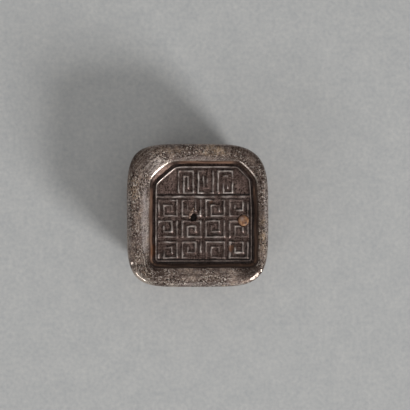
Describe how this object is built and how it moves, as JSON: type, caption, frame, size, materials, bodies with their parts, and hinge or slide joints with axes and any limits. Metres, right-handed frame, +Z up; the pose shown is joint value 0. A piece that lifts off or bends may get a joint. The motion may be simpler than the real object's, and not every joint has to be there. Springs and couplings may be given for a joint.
{
  "type": "silver ingot",
  "caption": "Rounded square block of poured silver with a sunk struck panel, a raised border and fret relief; it rests on its flat base.",
  "frame": {"origin": "middle of the flat base, under the middle of the block's outline", "axes": "+Z up through the struck panel, +X to the right and +Y to the back, where the panel has its clipped corners"},
  "size_m": [0.0466, 0.047, 0.021],
  "materials": {
    "tarnished_silver": "satin",
    "tan_resin": "matte",
    "tan_crust": "matte"
  },
  "bodies": {
    "root": {"silver_casting": "tarnished_silver", "tan_pellet": "tan_resin", "pit_crumbs": "tan_crust"}
  },
  "joints": []
}
